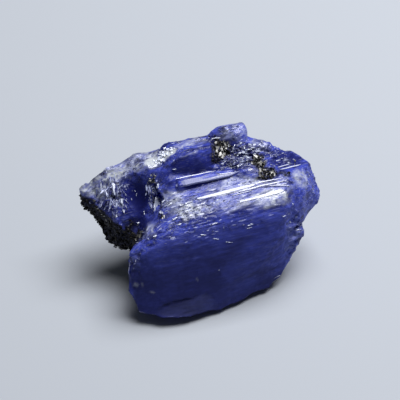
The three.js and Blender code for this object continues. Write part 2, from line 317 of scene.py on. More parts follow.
FLAKY = {
    # where cleavage flakes lie, and how thickly
    "sparkle slope": ((3.3, 0.4, 12.4), (2.2, 0.9, 0.8), 0.4),
    "plateau flakes": ((-2.6, -2.8, 10.3), (2.4, 1.1, 0.8), 0.36),
    "plateau's left end": ((-4.3, -1.2, 10.7), (1.2, 1.2, 0.8), 0.3),
    "plateau": ((2.0, -2.0, 11.0), (5.5, 1.8, 0.8), 0.25),
    "shoulder": ((-1.5, -4.3, 9.4), (6.8, 1.0, 0.9), 0.2),
    "shoulder's left end": ((-5.2, -3.5, 9.7), (1.8, 0.8, 0.5), 0.6),
    "lobe cheek": ((-9.4, 3.0, 9.3), (1.7, 1.8, 1.8), 0.55),
    "crest": ((-6.0, 4.2, 12.0), (3.0, 1.2, 0.9), 0.2),
    "gully": ((-5.3, 1.0, 10.0), (0.7, 1.5, 1.9), 0.4),
    "seam": ((-7.8, -1.4, 7.9), (0.8, 1.8, 1.2), 0.3),
    "right slope": ((7.8, 0.2, 11.7), (2.2, 1.1, 1.1), 0.25),
    "right break": ((7.5, -4.2, 6.4), (1.2, 1.2, 3.6), 0.1),
    "ridge top": ((-0.8, 3.0, 13.9), (2.8, 1.4, 0.6), 0.22),
    "nub": ((3.9, 2.8, 14.4), (1.7, 1.7, 0.9), 0.12),
    "right tip": ((10.2, -1.4, 9.0), (1.6, 1.4, 1.6), 0.12),
    "face's left edge": ((-9.3, -4.1, 6.4), (0.6, 0.8, 2.2), 0.12),
}

# %% Turn the lists into masks
def cloud_mask(places, clouds, soft=0.35):
    """The strongest of the clouds at each point."""
    mask = np.zeros(len(places))
    for centre, radii, strength in clouds.values():
        mask = np.maximum(mask, blob(places, centre, radii, soft) * strength)
    return mask

def vein_mask(places, veins_and_highlights):
    """The strongest of the veins at each point."""
    mask = np.zeros(len(places))
    for start_point, end_point, widths, strength in veins_and_highlights.values():
        mask = np.maximum(mask, streak(places, start_point, end_point, widths) * strength)
    return mask

start = points_of(crystal.data)
print("stone spans", start.min(0).round(2), "to", start.max(0).round(2))
warped = start + np.stack([ripple(start, 0.7, seed=s) for s in (1, 2, 3)], 1) * 0.25

matrix = cloud_mask(warped, MATRIX)
broken = cloud_mask(warped, BROKEN)
ribbed = cloud_mask(start, RIBBED)
deep_and_shaded = cloud_mask(warped, DEEP_AND_SHADED, soft=0.5)
hollow = blob(start, (-6.8, 2.1, 9.5), (1.35, 1.7, 2.2), soft=0.25)

# %% The crust under the lobe and over the hidden back
LOBE_EDGE = np.array((-11.7, 5.2, 8.4))
DOWN_LEFT = np.array((-0.68, -0.04, -0.73))
under = (warped - LOBE_EDGE) @ DOWN_LEFT
left_of_prism = smooth_step(-start[:, 0], 6.0, 7.0) * smooth_step(start[:, 1], -2.4, -0.6)
crust = smooth_step(under, -0.85, -0.45) * left_of_prism
matrix = np.maximum(matrix, crust)

patchy = ripple(start, 2.6, seed=4) + ripple(start, 0.8, seed=14) * 0.5
back = smooth_step(start[:, 1], 4.6, 5.6) * smooth_step(patchy, 0.0, 0.35)
matrix = np.maximum(matrix, back * smooth_step(11.0 - start[:, 2], 0, 2))

# %% Milky veils and painted highlights
wisps = ripple(warped, 0.45, seed=11, stretch=3.0) * 0.5 + ripple(warped, 0.2, seed=12, stretch=1.5) * 0.35
milk_and_highlights = cloud_mask(warped, CLOUDS, soft=0.6) * (0.75 + wisps)
veins_and_highlights = vein_mask(start, VEINS_AND_HIGHLIGHTS)
milk_and_highlights = np.maximum(milk_and_highlights, veins_and_highlights * (0.9 + wisps * 0.4))
milk_and_highlights = np.clip(milk_and_highlights * (1 - matrix) * (1 - hollow), 0, 1)
print("share milky", milk_and_highlights.mean().round(3), "matrix", matrix.mean().round(3))

# %% [markdown]
# ## Carving the relief
# Wear comes first, so that later detail stays crisp: corners are averaged away, most of all on the
# rounded shoulder. Then each kind of relief pushes the skin in or out along its normal, as strongly as
# its mask says.

# %% Wear the edges
FLAT_BASE = 0.15     # below this height, in millimetres, the base stays as it is

def relief(height):
    """Move each skin point along its normal, in millimetres."""
    print("relief from", height.min().round(2), "to", height.max().round(2), "mm")
    normals = averaged(normals_of(crystal.data), 4)
    normals /= np.linalg.norm(normals, axis=1, keepdims=True)
    move_to(crystal.data, points_of(crystal.data) + normals * height[:, None])

shoulder = blob(start, (0.0, -4.3, 9.3), (10.0, 2.1, 2.1), soft=0.5)
ramp = blob(start, (-3.4, 3.2, 13.0), (1.6, 1.4, 1.2))
facing = averaged(normals_of(crystal.data), 30)
front_face = smooth_step(-facing[:, 1], 0.6, 0.85) * smooth_step(-start[:, 1], 3.2, 4.2)
worn = averaged(start, 3)
inner_face = smooth_step(averaged(front_face[:, None], 12)[:, 0], 0.7, 0.95)
softer = np.maximum.reduce([ramp, hollow, inner_face])
worn = worn + (averaged(worn, 60) - worn) * softer[:, None]
worn = worn + (averaged(worn, 300) - worn) * shoulder[:, None]
worn[:, 2] = np.where(start[:, 2] < FLAT_BASE, start[:, 2], worn[:, 2])
move_to(crystal.data, worn)

# %% Broad fracture bowls and unevenness
calm = np.maximum(front_face, hollow)
rough = 1 - calm * 0.9
plateau = blob(start, RIBBED["plateau"][0], (7.4, 2.6, 1.4))
bowls, _ = scallops(start, 2.6, seed=1)
ridge_top = blob(start, (0.2, 3.6, 14.0), (2.4, 1.8, 0.8))
left_side = smooth_step(-start[:, 0], 3.5, 6.5)
ledge = streak(start, (-3.4, 0.1, 11.8), (2.8, -0.2, 11.9), (0.9, 0.6))
quiet = (1 - shoulder * 0.8) * (1 - plateau * 0.9) * (1 - ridge_top * 0.8) * (1 - ledge * 0.9)
relief((bowls - 0.2 - 0.25 * left_side) * 0.7 * rough * quiet)
relief(ripple(start, 2.2, seed=5) * 0.06 * rough)

# %% Growth ribs along the crystals
ribs = treads(start, 1.0, seed=6, stretch=14) * 0.10 + treads(start, 0.40, seed=7, stretch=12) * 0.065
relief(ribs * ribbed * (1 - matrix))

# %% Shell-shaped chips on the broken parts
big_chips, big_tone = scallops(warped, 1.0, seed=2, stretch=1.6)
small_chips, small_tone = scallops(warped, 0.5, seed=3, stretch=1.8)
chips = (big_chips - 0.2) * 0.55 + (small_chips - 0.2) * 0.34
relief((chips - 0.2 * left_side) * broken * (1 - hollow))
facet_tone = (big_tone * 0.5 + small_tone * 0.6) * (1 - calm)

# %% Sugary frost and grainy matrix
sugar, _ = grains(warped, 0.32, seed=4)
crumbs, _ = grains(warped, 0.42, seed=5)
relief((sugar - 0.4) * 0.08 * milk_and_highlights * (1 - ribbed * 0.7))
relief((crumbs - 0.3) * 0.22 * matrix + ripple(start, 0.9, seed=8) * 0.12 * matrix)

# %% Shallow bowls and steps on the front face
shallow, face_tone = scallops(warped, 2.4, seed=10, stretch=1.5)
face_steps = treads(start, 0.9, seed=12, stretch=6) * 0.05
relief(((shallow - 0.2) * 0.22 + face_steps) * front_face)

# %% The chipped foot of the front face
# a crack runs up to the right; below it a flake has come off, so the foot sits a little deeper
CRACK = np.array([(-8.3, 1.7), (-7.7, 1.9), (-6.8, 2.35), (-4.8, 2.6), (-2.6, 2.9), (-2.0, 2.4), (-1.2, 0.9)])
crack_height = np.interp(start[:, 0], *CRACK.T) + ripple(start, 0.5, seed=9) * 0.12
below = crack_height - start[:, 2]
reach = smooth_step(start[:, 0], -8.3, -7.0) * (1 - smooth_step(start[:, 0], -3.0, -1.2))
reach = reach * smooth_step(-start[:, 1], 3.6, 4.4) * smooth_step(start[:, 2], 0.1, 0.4)
fading = (1 - smooth_step(start[:, 0], -4.6, -2.8)) * (0.75 + 0.4 * ripple(start, 0.6, seed=30))
crack = (1 - smooth_step(np.abs(below), 0.04, 0.20)) * reach * fading.clip(0, 1)
chipped = smooth_step(below, 0, 0.3) * reach
relief(-crack * 0.18 - chipped * 0.10)

# the foot of the face stands out a little over the floor
foot = smooth_step(-start[:, 1], 3.8, 5.0) * (1 - smooth_step(start[:, 2], 0.8, 3.0))
carved = points_of(crystal.data)
carved[:, 1] -= 0.35 * foot
# its left part does not quite touch the floor, so a dark gap shows under it
lifted = smooth_step(-start[:, 0], 3.0, 7.5) * smooth_step(-start[:, 1], 2.6, 4.2)
lifted = lifted * (1 - smooth_step(start[:, 2], 0.2, 1.8))
carved += lifted[:, None] * (0, -0.28, 0.36)
carved[:, 2] = carved[:, 2].clip(0, None)
move_to(crystal.data, carved)
print("carved stone spans", carved.min(0).round(2), "to", carved.max(0).round(2))

# %% Painted light and shade, and how glossy and how glittering each place is
# painted light and shade on the front face: nearly navy on the left and low down, lighter to the right and in
# a band along its top edge
face_right = smooth_step(start[:, 0], -3.0, 7.0)
drawn_out = ripple(start, 0.55, seed=31, stretch=6) * 0.7 + ripple(start, 0.22, seed=32, stretch=7) * 0.5
face_painted_light = 0.03 + 0.5 * face_right * smooth_step(start[:, 2], 0.8, 3.0) * (1 + drawn_out)
top_edge = start[:, 2] - start[:, 0] * 0.1 + drawn_out * 1.1
face_painted_light = np.maximum(face_painted_light, 0.8 * smooth_step(top_edge, 6.0, 9.6))
# the body colour is painted: royal blue stands for light sent back from cloudy crystal, navy for deep clear
# crystal and for painted shade
cloud_and_painted_light = 0.8 - deep_and_shaded * 0.8
# painted light and shade on the rounded shoulder: lighter to the left, darker to the right
shoulder_painted_light = 0.62 - 0.34 * smooth_step(start[:, 0], -5.0, 1.5)
cloud_and_painted_light += (shoulder_painted_light - cloud_and_painted_light) * shoulder * smooth_step(-start[:, 1] - start[:, 2] * 0.3, 0.4, 1.1)
# painted shade: the colour goes to navy towards the floor
cloud_and_painted_light = cloud_and_painted_light * smooth_step(start[:, 2], 0.5, 3.0)
# the side that faces back is darker in broad patches
behind = smooth_step(facing[:, 1], 0.1, 0.5)
cloud_and_painted_light = cloud_and_painted_light * (1 - 0.8 * behind * smooth_step(ripple(start, 2.4, seed=41, stretch=1.5), -0.4, 0.4))
# painted shade on the lower front of the stone
cloud_and_painted_light = cloud_and_painted_light * (1 - 0.7 * smooth_step(-start[:, 1], 2.5, 3.2) * (1 - smooth_step(start[:, 2], 4.0, 7.0)))
face_painted_light += face_tone * 0.07 + 0.12 * chipped
cloud_and_painted_light += (face_painted_light - cloud_and_painted_light) * front_face
# the front face is greyed, more on its chipped foot
face_grey = (0.14 + 0.18 * chipped) * front_face
cloud_and_painted_light = cloud_and_painted_light * (1 + facet_tone * (0.45 + 0.4 * broken)) - 0.1 * broken * (facet_tone < -0.35)
cloud_and_painted_light = cloud_and_painted_light.clip(0, 1)
jag = blob(start, *BROKEN["right break"][:2], soft=0.5)
gully = blob(start, *BROKEN["gully"][:2], soft=0.5) * (1 - hollow)
gloss = (0.2 + 0.4 * broken + 0.8 * veins_and_highlights.clip(0, 1)) * (1 - 0.85 * jag)
# painted light: the right break and the gully, which lies in shade, are lightened, and so is the thin right
# tip
cloud_and_painted_light += 0.6 * jag + 0.9 * gully + 0.15 * smooth_step(start[:, 0], 8.0, 9.5) * (1 - deep_and_shaded)
gloss = gloss * (1 - matrix * 0.8) * (1 - 0.95 * front_face) * (1 - deep_and_shaded * 0.8) * (1 - hollow * 0.9)
glitter = np.clip(broken + milk_and_highlights * 0.3, 0, 1) * (1 - hollow) * (1 - 0.7 * veins_and_highlights.clip(0, 1))
flakes = cloud_mask(warped, FLAKY, soft=0.5) * (1 - matrix) * (1 - veins_and_highlights.clip(0, 1))

# %% Store the masks and return to metres
def store(mesh, name, values):
    layer = mesh.attributes.new(name, "FLOAT", "POINT")
    layer.data.foreach_set("value", values.astype(np.float32))

MASKS = {
    "milk_and_highlights": (milk_and_highlights * (1 + facet_tone * 0.6 * (1 - veins_and_highlights).clip(0, 1))).clip(0, 1),
    "matrix": np.maximum(matrix, crack * 0.5), "face": front_face,
    "cloud_and_painted_light": cloud_and_painted_light, "gloss": gloss, "glitter": glitter, "flakes": flakes, "face_grey": face_grey,
}
for name, values in MASKS.items():
    store(crystal.data, name, values)

crystal.data.transform(Matrix.Scale(MM, 4))
crystal.data.shade_smooth()
crystal.data.materials.clear()
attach(crystal, "root")
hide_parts("tanzanite")

# %% [markdown]
# ## Flakes, grains and splinters
# Cleavage leaves thin flakes on the crystal that all lie the same way, so that they flash together.
# Their pale tone is partly milky crystal and partly that flash, painted.
# The matrix is a mass of small angular grains with a few bright ones among them. A texture could hint
# at both, but they catch the light and shade each other, so each one is a little solid of its own: a
# five-sided plate for a flake, a knocked-about icosahedron for a grain.

# %% Make little solids on the skin
CLEAVAGE = Vector((0.05, -0.39, 0.92))     # most flakes lie on this plane, which faces up and to the front
RIBS = Vector((1.0, 0.0, 0.03))            # along the crystal
SKIN, OUTWARD = carved, normals_of(crystal.data)
DRAW = np.random.default_rng(7)

def facing_frame(along, up):
    """A rotation whose Z is up and whose X is as near to along as it can be."""
    up = up.normalized()
    side = up.cross(along).normalized()
    return Matrix((side.cross(up), side, up)).transposed().to_4x4()

def jitter(amount):
    return Vector(random.uniform(-amount, amount) for _ in range(3))

def add_plate(bm, place, turned, half_sizes):
    """A thin five-sided flake with a flat top."""
    fit = Matrix.Translation(place) @ turned @ Matrix.Diagonal((*half_sizes, 1))
    return bmesh.ops.create_cone(
        bm, cap_ends=True, segments=5, radius1=1, radius2=0.8, depth=2, matrix=fit)["verts"]

def add_crumb(bm, place, turned, half_sizes):
    """An angular grain: a knocked-about icosahedron."""
    fit = Matrix.Translation(place) @ turned @ Matrix.Diagonal((*half_sizes, 1))
    made = bmesh.ops.create_icosphere(bm, subdivisions=1, radius=1, matrix=Matrix())["verts"]
    for vert in made:
        vert.co = fit @ (vert.co + jitter(0.28))
    return made

def add_shard(bm, place, turned, half_sizes):
    """A broken splinter: a knocked-about four-sided wedge, thicker at one end."""
    fit = Matrix.Translation(place) @ turned @ Matrix.Diagonal((*half_sizes, 1))
    lying = Matrix.Rotation(math.pi / 2, 4, "Y") @ Matrix.Rotation(math.pi / 4, 4, "Z")
    made = bmesh.ops.create_cone(
        bm, cap_ends=True, segments=4, radius1=1.3, radius2=0.6, depth=2, matrix=lying)["verts"]
    for vert in made:
        vert.co = fit @ (vert.co + jitter(0.35))
    return made

def new_bits():
    bm = bmesh.new()
    return bm, bm.verts.layers.float.new("tone")

def finish_bits(bm, name):
    """One object from all the little solids in bm, in metres, riding with the stone."""
    bmesh.ops.scale(bm, vec=(MM, MM, MM), verts=bm.verts)
    bmesh.ops.recalc_face_normals(bm, faces=bm.faces)
    mesh = bpy.data.meshes.new(name)
    bm.to_mesh(mesh)
    bm.free()
    piece = linked(name, mesh)
    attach(piece, "root")
    print(name, len(mesh.polygons), "faces")
    return piece

def picked(weights, count):
    """Indices of skin points drawn in proportion to their weights."""
    return DRAW.choice(len(weights), count, replace=False, p=weights / weights.sum())

# %% White flakes along the ribs, pale partly as a painted glint
FLAKE_COUNT = 2200
STEEPEST = 0.65      # cosine to the skin; a flake that stands up more looks like a hair
flake_bits, tone = new_bits()
lobe_side = smooth_step(-SKIN[:, 0], 4.6, 5.4) * smooth_step(SKIN[:, 1], -0.5, 0.5)
lobe_side = lobe_side * (1 - smooth_step(SKIN[:, 2], 11.2, 11.8))
clumps = smooth_step(ripple(SKIN, 0.9, seed=21, stretch=2.0), -0.5, 0.6)
for index in picked(flakes ** 1.5 * (0.1 + clumps), FLAKE_COUNT):
    normal = Vector(OUTWARD[index])
    up = (CLEAVAGE + normal * 0.5 + jitter(0.3)).normalized()
    # none on skin that faces back or right, where they would stand out from the edge
    if up.dot(normal) < STEEPEST or normal.y > 0.25 or normal.x > 0.75:
        continue
    down_slope = normal.cross(Vector((0, 0, 1)).cross(normal))
    along = down_slope if random.random() < lobe_side[index] else RIBS + jitter(0.15)
    size = random.random() ** 2
    half = (0.05 + 0.30 * size, 0.018 + 0.08 * size * random.random(), 0.02)
    coarse = 0.75 + 0.65 * broken[index] + 0.35 * lobe_side[index]
    coarse = coarse * (0.5 if normal.y > 0.2 else 1.0) * (1 - 0.35 * shoulder[index])
    half = (half[0] * coarse, half[1] * coarse, half[2])
    made = add_plate(flake_bits, Vector(SKIN[index]) + normal * 0.01, facing_frame(along, up), half)
    # pale tone: milky flake, and partly a painted glint
    bright = random.random() ** 2.4 * (0.45 + 0.55 * max(broken[index], milk_and_highlights[index]))
    for vert in made:
        vert[tone] = bright
flakes_with_glints = finish_bits(flake_bits, "flakes_with_painted_glints")

# %% [markdown]
# ## Steps of cleavage
# Where a crystal splits, its edge is left as a long straight step that shines from end to end. It could
# be a stripe in the material, but a stripe has no edge to catch the light. So each step is a narrow
# plate, cut along its length so that it can follow the skin, with pointed ends. Their pale tone is a
# painted highlight, the shine of the light along them; the plates are pale all through, so it shows from
# every side and in any light.

# %% Long steps of cleavage, pale as a painted highlight
STEPS_WITH_HIGHLIGHTS = {
    # start, end, half width at each end, tone
    "streak": ((-1.85, -1.8, 10.85), (4.2, -1.98, 11.12), (0.14, 0.34), 0.85),
    "streak's upper branch": ((3.2, -1.82, 11.14), (7.2, -2.0, 11.18), (0.07, 0.05), 0.9),
    "streak's lower branch": ((2.4, -2.22, 10.98), (7.3, -2.35, 11.1), (0.10, 0.06), 0.85),
    "streak's dark line": ((1.5, -2.04, 11.0), (6.6, -2.14, 11.14), (0.035, 0.035), 0.0),
    "second dark line": ((2.6, -2.38, 10.95), (6.4, -2.48, 11.05), (0.04, 0.03), 0.0),
    "line below the streak": ((1.6, -2.5, 10.9), (3.7, -2.5, 10.95), (0.05, 0.05), 0.7),
    "patch ridge": ((2.25, -3.4, 10.6), (6.8, -3.25, 10.7), (0.05, 0.30), 1.0),
    "right line": ((5.6, -2.55, 11.05), (7.4, -2.7, 10.95), (0.05, 0.06), 0.7),
    "strip": ((-3.5, -0.05, 11.7), (3.2, -0.3, 11.86), (0.40, 0.22), 0.16),
    "strip's light line": ((-2.6, -0.2, 11.7), (3.0, -0.3, 11.86), (0.04, 0.06), 0.5),
    "strip's upper edge": ((-3.3, 0.52, 12.05), (0.8, 0.45, 11.97), (0.06, 0.04), 1.0),
    "strip's right end": ((1.0, -0.1, 11.95), (2.6, -0.2, 11.85), (0.06, 0.05), 0.8),
    "thin line": ((3.2, -1.6, 11.15), (6.5, -2.0, 11.15), (0.03, 0.05), 0.9),
    "right end of the streaks": ((5.2, -2.4, 11.0), (7.6, -2.9, 10.8), (0.03, 0.06), 0.6),
    "slope line": ((7.1, -0.8, 11.7), (8.7, -0.15, 11.2), (0.06, 0.05), 0.8),
    "slope's lower line": ((7.3, -1.05, 11.55), (9.9, 0.05, 10.5), (0.06, 0.07), 1.0),
}

def seats(begin, end, count):
    """Points along a line, each moved across the cleavage plane onto the skin, evenly."""
    line = np.linspace(begin, end, count + 1)
    nearest = [((SKIN - place) ** 2).sum(1).argmin() for place in line]
    rise = ((SKIN[nearest] - line) * np.array(CLEAVAGE)).sum(1)
    padded = np.concatenate([rise[:1], rise, rise[-1:]])
    even = (padded[:-2] + padded[1:-1] * 2 + padded[2:]) / 4
    return line + even[:, None] * np.array(CLEAVAGE)

def add_step(bm, begin, end, widths, top):
    """A long narrow plate on the skin with a flat top and pointed ends."""
    count = max(4, round(float(np.linalg.norm(np.subtract(end, begin))) / 0.3))
    middle_line = [Vector(place) for place in seats(begin, end, count)]
    first = len(bm.verts)
    corners = bmesh.ops.create_cube(bm, size=2)["verts"]
    lengthwise = {edge for vert in corners for edge in vert.link_edges
                  if edge.verts[0].co.x * edge.verts[1].co.x < 0}
    bmesh.ops.subdivide_edges(bm, edges=list(lengthwise), cuts=count - 1, use_grid_fill=True)
    bm.verts.ensure_lookup_table()
    made = bm.verts[first:]
    side = CLEAVAGE.cross(Vector(end) - Vector(begin)).normalized()
    for vert in made:
        part = vert.co.x / 2 + 0.5
        pointed = min(1, 0.3 + 5 * part, 0.15 + 5 * (1 - part))
        width = (widths[0] + (widths[1] - widths[0]) * part) * pointed
        slope = 0.75 if vert.co.z > 0 else 1.0
        vert.co = (middle_line[round(part * count)] + side * vert.co.y * width * slope
                   + CLEAVAGE.normalized() * (top if vert.co.z > 0 else -0.08))
    return made

BROAD_TOP, NARROW_TOP = 0.065, 0.08    # mm above the skin
highlight_step_bits, tone = new_bits()
for begin, end, widths, bright in STEPS_WITH_HIGHLIGHTS.values():
    # narrow lines lie on top of the broad plates
    for vert in add_step(highlight_step_bits, begin, end, widths, BROAD_TOP if max(widths) > 0.1 else NARROW_TOP):
        vert[tone] = bright
highlight_steps = finish_bits(highlight_step_bits, "steps_with_painted_highlights")

# %% [markdown]
# ## Grains of matrix
# The crusts are the dark rock that the crystal grew in, probably graphite, crumbled into angular grains.
# Bump alone would leave them smooth at the edge, so they are small solids, strewn as thickly as the
# matrix mask says.

# %% Dark grains of matrix
GRAIN_COUNT = 1500
CLEAR_OF_FLOOR = 0.4     # mm, so that no grain reaches below the base
grain_bits, tone = new_bits()
for index in picked(matrix ** 2 * (SKIN[:, 2] > CLEAR_OF_FLOOR), GRAIN_COUNT):
    size = 0.06 + 0.12 * random.random() ** 2
    half = [size * random.uniform(0.7, 1.2) for _ in range(3)]
    turned = facing_frame(jitter(1), Vector(OUTWARD[index]) + jitter(0.5))
    made = add_crumb(grain_bits, Vector(SKIN[index]) + Vector(OUTWARD[index]) * size * 0.1, turned, half)
    shade = random.random()
    for vert in made:
        vert[tone] = shade
dark_grains = finish_bits(grain_bits, "matrix_grains")

# %% [markdown]
# ## Bright grains
# A few grains in the crusts are pale and glassy, and some are long crystals of their own. A speckled
# texture would look flat, so they are wedges and crumbs in their own piece, with a paler finish.

# %% Bright grains in the matrix
GLINTING = {
    "upper patch": ((2.2, 1.7, 13.4), (0.9, 0.9, 0.8), 1.0),
    "lower patch": ((5.4, 0.0, 12.4), (0.6, 1.2, 0.8), 0.8),
    "lower patch's foot": ((5.8, -1.3, 11.7), (1.1, 0.6, 0.5), 0.5),
    "gully": ((-5.2, 2.0, 11.2), (0.6, 0.6, 0.8), 1.0),
    "pale cluster": ((-5.8, -1.8, 10.1), (0.45, 0.5, 0.35), 2.0),
    "right cluster": ((9.4, 0.2, 10.95), (0.4, 0.35, 0.3), 2.5),
    "seam": ((-7.9, -1.8, 7.7), (0.6, 1.2, 1.2), 0.3),
    "under the lobe": ((-10.6, 3.2, 7.6), (1.6, 1.6, 1.4), 0.08),
}
PALE_CHIPS = {
    "long crystal": ((1.6, 1.4, 13.0), (1.9, 1.7, 13.25), 0.16),
    "long crystal's tip": ((2.0, 1.8, 13.3), (2.2, 2.0, 13.45), 0.14),
    "left crystal": ((1.5, 1.9, 13.2), (1.7, 2.0, 13.3), 0.13),
    "upper crystal": ((1.7, 2.6, 13.6), (2.0, 2.8, 13.7), 0.2),
    "right crystal": ((2.5, 1.8, 13.4), (2.6, 1.9, 13.45), 0.12),
}

def add_chip(bm, begin, end, width, add):
    """One chip or splinter that lies on the skin between two points."""
    begin, end = Vector(begin), Vector(end)
    nearest = ((SKIN - np.array((begin + end) / 2)) ** 2).sum(1).argmin()
    normal = Vector(OUTWARD[nearest])
    half = ((end - begin).length / 2 + width * 0.2, width * 0.8, width * 0.4)
    turned = facing_frame(end - begin, normal * 0.5 + CLEAVAGE * 1.5)
    return add(bm, Vector(SKIN[nearest]) + normal * width * 0.25, turned, half)

GLINT_COUNT = 150
glint_bits, tone = new_bits()
for begin, end, width in PALE_CHIPS.values():
    for vert in add_chip(glint_bits, begin, end, width, add_crumb):
        vert[tone] = 0.95
for index in picked(cloud_mask(SKIN, GLINTING) * (0.2 + matrix), GLINT_COUNT):
    size = 0.05 + 0.10 * random.random() ** 2.5
    half = (size * random.uniform(1.0, 1.7), size, size * 0.6)
    turned = facing_frame(jitter(1), Vector(OUTWARD[index]) + jitter(0.5))
    made = add_shard(glint_bits, Vector(SKIN[index]) + Vector(OUTWARD[index]) * size * 0.3, turned, half)
    shade = random.random() ** 1.5
    for vert in made:
        vert[tone] = shade
bright_grains = finish_bits(glint_bits, "bright_grains")

# %% [markdown]
# ## Sugar and splinters
# The crest is crushed to something like coarse sugar, and single splinters lie about on the stone. Many
# of the splinters, the glints, dashes and sparkles, are pale solids as painted glints. The sugar is strewn
# by a mask. The splinters are placed one by one, each from three overlapping wedges, so that no outline
# is straight.

# %% Sugar on the crest, single splinters and painted glints
SUGARY = {
    "white crest": ((-3.6, 3.35, 13.0), (1.7, 0.6, 0.9), 0.55),
    "sparkle slope": ((3.7, 1.0, 12.9), (1.9, 1.1, 1.0), 0.8),
    "band behind the nub": ((6.4, 1.5, 12.8), (1.0, 0.7, 0.5), 0.5),
}
SPLINTERS_AND_GLINTS = {
    # start, end, half width: broken needles and chips that lie on the stone, and pale solids that are painted
    # glints
    "long splinter": ((-5.1, 1.2, 9.9), (-6.0, -0.35, 9.5), 0.27),
    "pale chip": ((-5.65, -1.5, 10.15), (-5.45, -2.05, 10.15), 0.2),
    "gully needle": ((-5.0, 1.2, 11.4), (-5.05, 0.8, 11.15), 0.09),
    "gully speck": ((-5.75, 1.6, 10.15), (-5.8, 1.45, 9.95), 0.07),
    "hollow's glint": ((-6.75, 2.98, 9.75), (-6.8, 2.9, 9.55), 0.06),
    "hollow's second glint": ((-6.68, 2.75, 9.5), (-6.72, 2.7, 9.28), 0.07),
    "hollow's lower glint": ((-6.55, 0.9, 8.5), (-6.6, 0.75, 8.25), 0.07),
    "hollow's foot chip": ((-7.6, 0.5, 7.5), (-7.3, 0.5, 7.6), 0.08),
    "gully's upright flake": ((-5.07, 1.1, 11.5), (-5.1, 1.1, 10.9), 0.1),
    "gully's left flake": ((-5.26, 1.8, 10.8), (-5.3, 1.8, 10.4), 0.08),
    "cheek flake": ((-8.35, 2.35, 9.5), (-8.5, 2.1, 8.95), 0.18),
    "cheek's lower flake": ((-8.45, 1.75, 8.55), (-8.6, 1.55, 8.1), 0.13),
    "cheek's lowest flake": ((-9.1, 1.85, 8.25), (-9.2, 1.65, 7.9), 0.12),
    "lobe's left glint": ((-9.8, 4.3, 10.7), (-9.95, 3.8, 10.35), 0.1),
    "cheek's middle flake": ((-9.0, 3.2, 10.15), (-9.15, 2.85, 9.6), 0.12),
    "cheek's left flake": ((-9.0, 2.5, 9.25), (-9.0, 2.3, 8.8), 0.1),
    "cheek plate": ((-9.1, 3.6, 10.7), (-9.25, 2.95, 9.7), 0.22),
    "lobe's flake": ((-9.95, 4.0, 10.65), (-10.05, 3.8, 10.3), 0.12),
    "three-sided chip": ((-7.2, -3.65, 9.0), (-6.9, -3.75, 9.2), 0.13),
    "shoulder chip": ((-4.5, -3.55, 9.8), (-4.2, -3.5, 9.85), 0.1),
    "double dash": ((2.05, -5.2, 8.95), (2.8, -5.2, 9.0), 0.06),
    "double dash's second": ((2.2, -5.35, 8.7), (2.75, -5.35, 8.7), 0.05),
    "face-top dash": ((-1.55, -5.2, 8.4), (-0.95, -5.3, 8.2), 0.07),
    "face-top's right dash": ((-0.17, -5.5, 7.8), (0.44, -5.6, 7.65), 0.055),
    "face-top's left dash": ((-2.78, -4.84, 8.91), (-1.89, -5.02, 8.79), 0.045),
    "face's white dot": ((-1.2, -6.27, 5.0), (-1.12, -6.27, 5.02), 0.05),
    "rim dash": ((4.76, -5.43, 1.57), (5.73, -5.17, 1.47), 0.04),
    "knob glint": ((-3.35, 1.2, 12.75), (-2.8, 1.1, 12.9), 0.045),
    "nub's left dash": ((1.6, 3.2, 13.9), (2.3, 2.9, 14.05), 0.09),
    "big sparkle": ((3.9, 1.0, 13.1), (4.2, 1.0, 13.1), 0.22),
    "round grain": ((2.8, 1.9, 13.6), (3.0, 1.85, 13.6), 0.2),
    "break's grain": ((7.4, -4.15, 9.5), (7.55, -4.1, 9.35), 0.11),
    "break's dash": ((6.2, -5.3, 9.0), (6.5, -5.3, 9.0), 0.06),
    "break's speck": ((7.1, -4.35, 7.4), (7.15, -4.3, 7.15), 0.1),
    "face dot": ((-9.25, -4.15, 7.0), (-9.3, -4.15, 6.7), 0.055),
    # small flakes on the plateau, from 1 to 10
    1: ((-3.62, -2.53, 10.3), (-2.91, -2.59, 10.4), 0.1),
    2: ((-2.54, -2.73, 10.41), (-1.77, -2.66, 10.53), 0.1),
    3: ((-2.34, -3.35, 10.2), (-1.71, -3.35, 10.27), 0.1),
    4: ((-4.79, -2.84, 9.98), (-4.35, -2.79, 10.07), 0.12),
    5: ((-4.77, -1.31, 10.58), (-4.34, -1.27, 10.68), 0.1),
    6: ((-3.07, -1.87, 10.66), (-2.4, -1.78, 10.79), 0.1),
    7: ((-3.92, -3.06, 10.04), (-3.48, -3.02, 10.13), 0.1),
    8: ((-1.43, -2.89, 10.48), (-0.98, -2.82, 10.55), 0.08),
    9: ((-5.41, -0.72, 10.43), (-4.71, -0.54, 10.86), 0.1),
    10: ((-0.33, -2.48, 10.75), (0.32, -2.45, 10.8), 0.07),
}
SUGAR_COUNT = 300
frost_bits, tone = new_bits()
for index in picked(cloud_mask(SKIN, SUGARY) ** 1.5 * (OUTWARD[:, 2] > 0.1) * (1 - matrix), SUGAR_COUNT):
    size = 0.04 + 0.08 * random.random() ** 1.5
    half = (size * random.uniform(1.0, 2.2), size, size * 0.4)
    facing_up = CLEAVAGE * (1 if SKIN[index][0] > 0 else 3)
    turned = facing_frame(RIBS + jitter(0.5), Vector(OUTWARD[index]) + facing_up + jitter(0.4))
    made = add_shard(frost_bits, Vector(SKIN[index]) + Vector(OUTWARD[index]) * size * 0.1, turned, half)
    shade = random.random() ** 3 if SKIN[index][0] > 0 else random.uniform(0.7, 1.0)
    for vert in made:
        vert[tone] = shade
